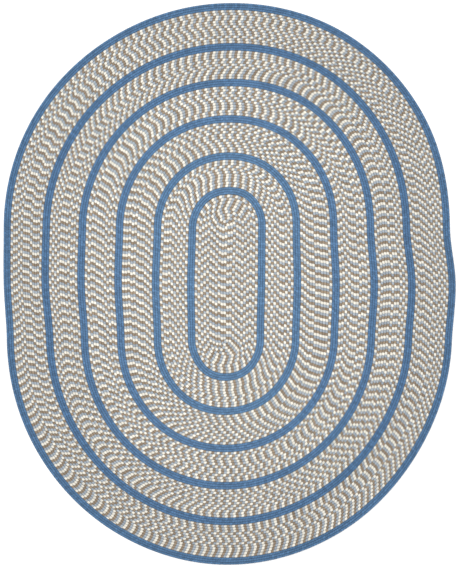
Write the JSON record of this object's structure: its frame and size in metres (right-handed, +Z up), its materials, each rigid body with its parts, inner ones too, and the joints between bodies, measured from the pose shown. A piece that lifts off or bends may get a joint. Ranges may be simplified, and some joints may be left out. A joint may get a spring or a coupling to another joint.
{
  "type": "oval braided rug",
  "caption": "Flat oval area rug of narrow braid wound round a straight core and sewn edge to edge, cream, tan and blue-grey tweed with concentric blue rings and a blue border.",
  "frame": {"origin": "centre of the rug's outline, on the floor it lies on", "axes": "+Y along the rug's long axis, +X across it, +Z up out of its face"},
  "size_m": [2.4422, 3.033, 0.009],
  "materials": {
    "tweed_braid": "matte spun yarn, braided in cream, tan and blue-grey strands",
    "blue_braid": "matte spun yarn, braided in one mid blue"
  },
  "bodies": {
    "root": {"center_panel": "tweed_braid", "blue_ring_1": "blue_braid", "tweed_band_1": "tweed_braid", "blue_ring_2": "blue_braid", "tweed_band_2": "tweed_braid", "blue_ring_3": "blue_braid", "tweed_band_3": "tweed_braid", "blue_ring_4": "blue_braid", "tweed_band_4": "tweed_braid", "blue_ring_5": "blue_braid", "tweed_band_5": "tweed_braid", "blue_border": "blue_braid"}
  },
  "joints": []
}
